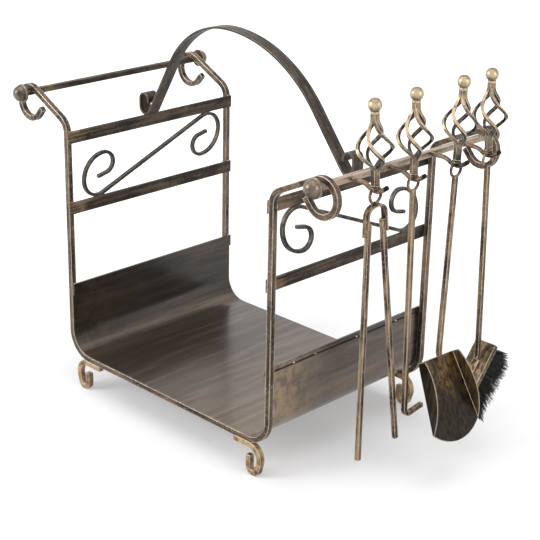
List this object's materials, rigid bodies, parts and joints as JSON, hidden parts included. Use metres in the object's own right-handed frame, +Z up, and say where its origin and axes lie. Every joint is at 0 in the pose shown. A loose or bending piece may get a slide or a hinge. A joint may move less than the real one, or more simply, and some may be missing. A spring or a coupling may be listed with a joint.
{
  "type": "log carrier",
  "caption": "Wrought-iron log carrier in rubbed black bronze, with scrolled ends, an arched handle and a hanging set of basket-handled hearth tools.",
  "frame": {"origin": "under the middle of the whole set, on the floor", "axes": "X from the plain left side to the tool side on the right, Y from the front to the back, Z up"},
  "size_m": [0.717, 0.3774, 0.5622],
  "materials": {
    "blackened_bronze": "dark umber bronze paint, rubbed to a warm brown on edges and in patches, satin",
    "antique_brass": "antique brass with dark shading, satin, brighter on balls and edges",
    "bronzed_sheet": "streaked dark bronze lacquer on sheet, glossy",
    "black_bristle": "stiff black fibre, matt"
  },
  "bodies": {
    "carrier": {"front_frame": "blackened_bronze", "back_frame": "blackened_bronze", "left_rail": "blackened_bronze", "right_rail": "blackened_bronze", "left_front_knob": "blackened_bronze", "left_back_knob": "blackened_bronze", "right_front_knob": "blackened_bronze", "right_back_knob": "blackened_bronze", "left_upper_slat": "blackened_bronze", "left_middle_slat": "blackened_bronze", "left_lower_slat": "blackened_bronze", "right_upper_slat": "blackened_bronze", "right_middle_slat": "blackened_bronze", "right_lower_slat": "blackened_bronze", "log_tray": "bronzed_sheet", "left_scroll_ornament": "blackened_bronze", "right_scroll_ornament": "blackened_bronze", "carry_handle": "blackened_bronze", "left_front_foot": "blackened_bronze", "left_back_foot": "blackened_bronze", "right_front_foot": "blackened_bronze", "right_back_foot": "blackened_bronze", "tongs_hook": "blackened_bronze", "poker_hook": "blackened_bronze", "shovel_hook": "blackened_bronze", "brush_hook": "blackened_bronze"},
    "tongs": {"tongs_eye": "antique_brass", "tongs_basket_grip": "antique_brass", "tongs_ball_finial": "antique_brass", "tongs_spring_bow": "antique_brass"},
    "tongs_front_leg": {"tongs_front_arm": "antique_brass", "tongs_front_rivet": "antique_brass"},
    "tongs_back_leg": {"tongs_back_arm": "antique_brass", "tongs_back_rivet": "antique_brass"},
    "poker": {"poker_shaft": "antique_brass", "poker_basket_grip": "antique_brass", "poker_ball_finial": "antique_brass"},
    "shovel": {"shovel_shaft": "antique_brass", "shovel_basket_grip": "antique_brass", "shovel_ball_finial": "antique_brass", "shovel_pan": "bronzed_sheet"},
    "brush": {"brush_shaft": "antique_brass", "brush_basket_grip": "antique_brass", "brush_ball_finial": "antique_brass", "brush_block": "antique_brass", "brush_bristles": "black_bristle", "brush_screw": "antique_brass"}
  },
  "joints": [
    {"name": "tongs_lift", "type": "slide", "parent": "carrier", "child": "tongs", "axis": [0.809, 0, 0.5878], "range_m": [0, 0.027]},
    {"name": "poker_lift", "type": "slide", "parent": "carrier", "child": "poker", "axis": [0.809, 0, 0.5878], "range_m": [0, 0.027]},
    {"name": "shovel_lift", "type": "slide", "parent": "carrier", "child": "shovel", "axis": [0.809, 0, 0.5878], "range_m": [0, 0.027]},
    {"name": "brush_lift", "type": "slide", "parent": "carrier", "child": "brush", "axis": [0.809, 0, 0.5878], "range_m": [0, 0.027]},
    {"name": "tongs_front_squeeze", "type": "hinge", "parent": "tongs", "child": "tongs_front_leg", "pos_m": [0.30079, -0.12626, 0.404], "axis": [1, 0, 0], "range_deg": [0, 5.8], "stiffness_Nm_per_rad": 20, "deforming": ["tongs_spring_bow"]},
    {"name": "tongs_back_squeeze", "type": "hinge", "parent": "tongs", "child": "tongs_back_leg", "pos_m": [0.30079, -0.09335, 0.40647], "axis": [1, 0, 0], "range_deg": [-5.8, 0], "stiffness_Nm_per_rad": 20}
  ],
  "couplings": [
    {"joint": "tongs_back_squeeze", "follows": "tongs_front_squeeze", "ratio": -1}
  ]
}
